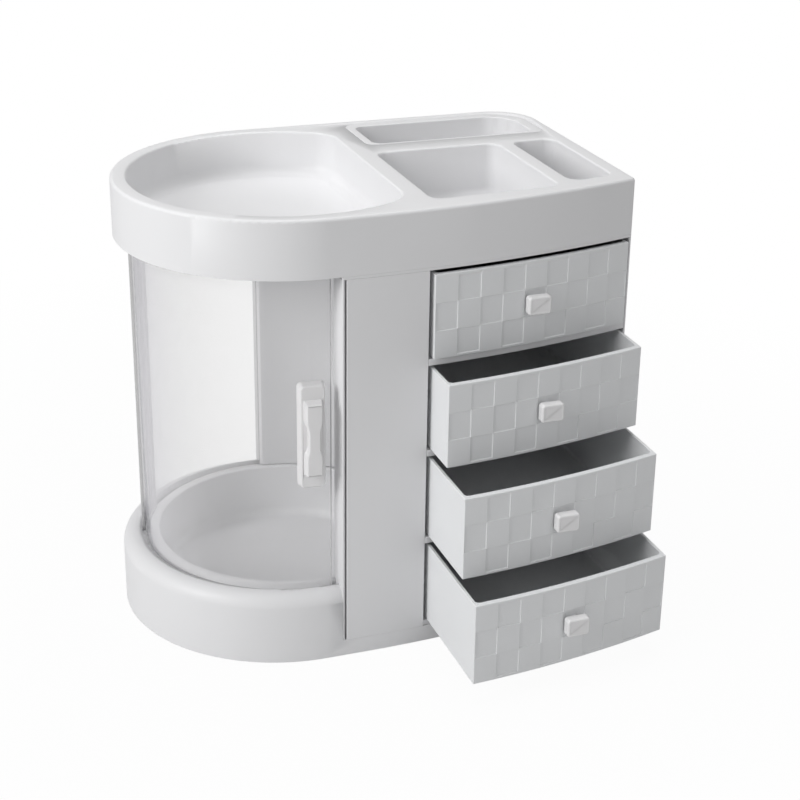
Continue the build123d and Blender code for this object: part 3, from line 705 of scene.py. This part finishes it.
# %% The handle's plate
door_outside = 92.0 * MM
handle_turn = radians(264.9 - 270.0)
handle_middle_z = 152.0 * MM
plate_half = (8.7 * MM, 34.5 * MM)  # half its width and half its height
plate_thickness = 6.0 * MM
plate_corner = 3.0 * MM
plate_rim = 1.0 * MM
face_share = (0.87, 0.965)  # the plate's face is smaller than its foot by this much
foot_overlap = 0.6 * MM  # how far the block reaches into the door before its foot is cut round
plate_face = -(door_outside + plate_thickness)
plate = block(
    "door_handle_plate_and_grip",
    (-plate_half[0], plate_face, handle_middle_z - plate_half[1]),
    (plate_half[0], -door_outside + foot_overlap, handle_middle_z + plate_half[1]),
)
choose_edges(plate, lambda a, b: near(a.x, b.x) and near(a.z, b.z))
bpy.ops.mesh.bevel(offset=plate_corner, segments=5, affect="EDGES")
close_mesh()
choose_faces(plate, lambda centre, normal: normal.y < -squarely)
bpy.ops.transform.resize(
    value=(face_share[0], 1, face_share[1]), center_override=(0, plate_face, handle_middle_z)
)
close_mesh()
choose_edges(plate, lambda a, b: near(a.y, plate_face) and near(b.y, plate_face))
bpy.ops.mesh.bevel(offset=plate_rim, segments=3, affect="EDGES")
close_mesh()
print("plate in mm:", round(2 * plate_half[0] / MM, 1), "by", round(2 * plate_half[1] / MM, 1))

# %% The waisted grip
grip_half_height = 25.0 * MM
grip_face = plate_face - 6.2 * MM
grip_overlap = 1.5 * MM
grip_root_half = 6.0 * MM
grip_face_half = 4.7 * MM
waist_half = 3.5 * MM
waist_ends = (5.5 * MM, 12.0 * MM)  # the waist is narrowest below and widest above these heights
end_slope = 1.8 * MM  # how much shorter the grip's face is than its root at each end
end_reach = 1.0 * MM
grip_edge = 0.8 * MM
grip_slices = 24
grip = block(
    "grip",
    (-grip_root_half, grip_face, handle_middle_z - grip_half_height),
    (grip_root_half, plate_face + grip_overlap, handle_middle_z + grip_half_height),
)
for number in range(1, grip_slices):
    z = handle_middle_z + grip_half_height * (2 * number / grip_slices - 1)
    bpy.ops.object.mode_set(mode="EDIT")
    bpy.ops.mesh.select_all(action="SELECT")
    bpy.ops.mesh.bisect(plane_co=(0, 0, z), plane_no=(0, 0, 1))
    close_mesh()


def slope(value, start, end):
    """Smooth rise from 0 at start to 1 at end."""
    part = min(max((value - start) / (end - start), 0), 1)
    return part * part * (3 - 2 * part)


for corner in grip.data.vertices:
    out = 1 if near(corner.co.y, grip_face) else 0
    height = corner.co.z - handle_middle_z
    end_half = grip_face_half if out else grip_root_half
    half = waist_half + (end_half - waist_half) * slope(abs(height), *waist_ends)
    corner.co.x = half if corner.co.x > 0 else -half
    if out and abs(height) > grip_half_height - end_reach:
        corner.co.z -= end_slope if height > 0 else -end_slope
soften(grip, grip_edge, segments=3, angle=40)
combine(plate, grip, "UNION")
door_curve = rod(
    "door_curve",
    door_outside,
    (0, 0, handle_middle_z - 2 * plate_half[1]),
    (0, 0, handle_middle_z + 2 * plate_half[1]),
    sides=256,
)
combine(plate, door_curve, "DIFFERENCE")
plate.data.transform(Matrix.Rotation(handle_turn, 4, "Z"))
smooth_by_angle(plate, degrees=38)
keep_flat(plate)
stand_for(plate, "door_handle")
print("handle triangles:", triangles(plate))

# %% [markdown]
# ## Light
# The photograph was lit by one strong soft light from the left, a weaker one from the front and a
# broad one from above. Three square lamps and an even, dim surround do the same. They stay at a
# plain level, at which white plastic keeps its shape instead of burning out.


# %% Lamps
def soft_light(name, place, target, size, power):
    """Square lamp of this size in metres, aimed from its place to the target."""
    data = bpy.data.lights.new(name, "AREA")
    data.size = size
    data.energy = power
    lamp = bpy.data.objects.new(name, data)
    bpy.context.scene.collection.objects.link(lamp)
    lamp.location = place
    direction = Vector(target) - Vector(place)
    lamp.rotation_euler = direction.to_track_quat("-Z", "Y").to_euler()
    return lamp


middle = (0.05, -0.02, 0.15)  # of the organizer, in metres
surround = 0.29
lamps = {  # place, size and power in watts
    "key_left": ((-1.6, -0.5, 1.0), 0.9, 20.5),
    "front_right": ((1.0, -1.8, 0.9), 1.2, 3.0),
    "overhead": ((0.1, 0.2, 1.9), 1.2, 15.0),
}
for name, (place, size, power) in lamps.items():
    soft_light(name, place, middle, size, power)
print("lamps:", len(bpy.data.lights))

# %% [markdown]
# ## Background and floor
# A white background could be lit by more lamps, but they would burn out the white plastic. So the
# world is white only to rays from the camera and to rays that pass through something. The floor
# glows to the camera alone, fully far away, and a little less near the organizer, so that it keeps
# a shadow.

# %% World
world = bpy.data.worlds.new("studio")
bpy.context.scene.world = world
world.use_nodes = True
world_nodes = world.node_tree.nodes
world_links = world.node_tree.links
background = world_nodes["Background"]
background.inputs["Color"].default_value = (1, 1, 1, 1)
world_rays = world_nodes.new("ShaderNodeLightPath")
seen = world_nodes.new("ShaderNodeMath")
seen.operation = "MAXIMUM"
strength = world_nodes.new("ShaderNodeMapRange")
strength.inputs["To Min"].default_value = surround
strength.inputs["To Max"].default_value = 1.0
world_links.new(world_rays.outputs["Is Camera Ray"], seen.inputs[0])
world_links.new(world_rays.outputs["Is Transmission Ray"], seen.inputs[1])
world_links.new(seen.outputs["Value"], strength.inputs["Value"])
world_links.new(strength.outputs["Result"], background.inputs["Strength"])
print("surround strength:", surround)

# %% Floor
floor_size = 8  # metres
bpy.ops.object.select_all(action="DESELECT")
bpy.ops.mesh.primitive_plane_add(size=floor_size, location=(0, 0, 0))
floor = bpy.context.view_layer.objects.active
floor.name = "floor"
print("floor:", floor.name, floor_size, "m wide")

# %% The floor's paper
floor_grey = 0.72
floor_roughness = 0.9
floor_glow = (0.96, 1.0)  # share of the glow near the organizer and far away
shadow_ends = (0.25, 0.7)  # metres from the middle between which the floor turns fully white
paper, kit, links, shader = new_material("white_paper")
shader.inputs["Base Color"].default_value = (floor_grey, floor_grey, floor_grey, 1)
shader.inputs["Roughness"].default_value = floor_roughness
floor_rays = kit.new("ShaderNodeLightPath")
floor_place = kit.new("ShaderNodeTexCoord")
distance = kit.new("ShaderNodeVectorMath")
distance.operation = "LENGTH"
fade = kit.new("ShaderNodeMapRange")
fade.inputs["From Min"].default_value = shadow_ends[0]
fade.inputs["From Max"].default_value = shadow_ends[1]
fade.inputs["To Min"].default_value = floor_glow[0]
fade.inputs["To Max"].default_value = floor_glow[1]
share = kit.new("ShaderNodeMath")
share.operation = "MULTIPLY"
glow = kit.new("ShaderNodeEmission")
mix = kit.new("ShaderNodeMixShader")
links.new(floor_place.outputs["Object"], distance.inputs[0])
links.new(distance.outputs["Value"], fade.inputs["Value"])
links.new(floor_rays.outputs["Is Camera Ray"], share.inputs[0])
links.new(fade.outputs["Result"], share.inputs[1])
links.new(share.outputs["Value"], mix.inputs["Fac"])
links.new(shader.outputs["BSDF"], mix.inputs[1])
links.new(glow.outputs["Emission"], mix.inputs[2])
links.new(mix.outputs["Shader"], kit["Material Output"].inputs["Surface"])
dress(floor, paper)
bpy.context.scene.view_settings.view_transform = "Standard"
print("floor finish:", paper.name)
